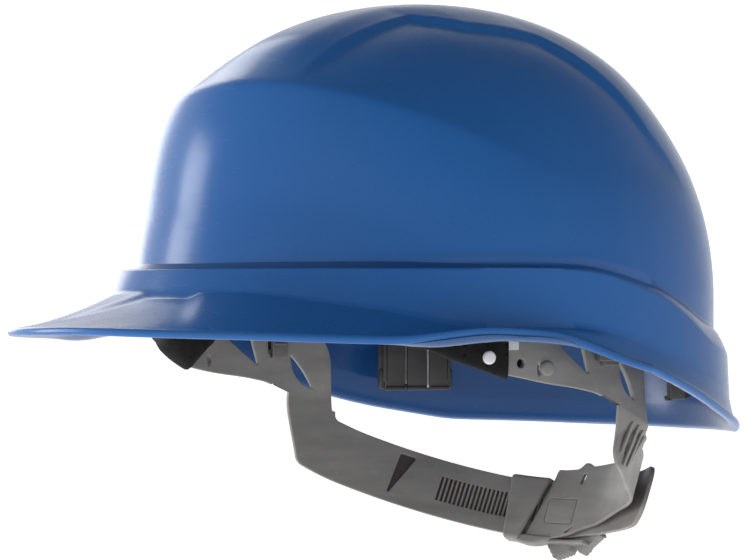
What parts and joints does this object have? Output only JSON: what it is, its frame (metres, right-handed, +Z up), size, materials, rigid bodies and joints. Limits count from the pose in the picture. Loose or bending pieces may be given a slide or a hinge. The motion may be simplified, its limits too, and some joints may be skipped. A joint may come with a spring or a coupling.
{
  "type": "hard hat",
  "caption": "Safety helmet with a peaked plastic shell, textile cradle, headband with sweatband and a slip-ratchet nape strap.",
  "frame": {"origin": "centre of the head opening, level with the headband's lower edge at the sides", "axes": "+X to the wearer's left, -Y to the front (the peak), +Z up"},
  "size_m": [0.215, 0.291, 0.2048],
  "materials": {
    "shell_blue": "glossy moulded polypropylene",
    "harness_grey": "satin moulded polyethylene",
    "sweatband_black": "matt synthetic leather",
    "sweatband_foam": "soft open foam",
    "stud_grey": "satin moulded plastic",
    "key_dark": "satin moulded plastic",
    "webbing_white": "woven polyester tape"
  },
  "bodies": {
    "harness": {"headband": "harness_grey", "sweatband_cover": "sweatband_black", "sweatband_pad": "sweatband_foam", "headband_studs": "stud_grey", "key_rear_left": "key_dark", "key_rear_right": "key_dark", "key_front_left": "key_dark", "key_front_right": "key_dark", "webbing_front_left_rear_right": "webbing_white", "webbing_front_right_rear_left": "webbing_white", "webbing_side_to_side": "webbing_white", "crown_patch": "webbing_white", "side_clip_left": "stud_grey", "side_clip_right": "stud_grey"},
    "shell": {"shell": "shell_blue"},
    "strap_arm": {"nape_strap": "harness_grey"},
    "buckle": {"buckle_arm": "harness_grey", "buckle_sleeve": "harness_grey", "buckle_grip": "harness_grey"},
    "latch": {"buckle_latch": "harness_grey"}
  },
  "joints": [
    {"name": "shell_lift", "type": "slide", "parent": "harness", "child": "shell", "axis": [0, 0, 1], "range_m": [0, 0.12]},
    {"name": "strap_adjust", "type": "hinge", "parent": "harness", "child": "strap_arm", "pos_m": [0, 0.006, -0.0245], "axis": [-0.0175, 0.4067, 0.9134], "range_deg": [-10.5, 10.5]},
    {"name": "buckle_adjust", "type": "hinge", "parent": "harness", "child": "buckle", "pos_m": [0, 0.006, -0.0245], "axis": [-0.0175, 0.4067, 0.9134], "range_deg": [-10.5, 10.5]},
    {"name": "latch_flex", "type": "hinge", "parent": "buckle", "child": "latch", "pos_m": [0.00855, 0.08038, -0.05745], "axis": [-0.0175, 0.4067, 0.9134], "range_deg": [0, 8], "stiffness_Nm_per_rad": 0.05}
  ],
  "couplings": [
    {"joint": "buckle_adjust", "follows": "strap_adjust", "ratio": -1}
  ]
}
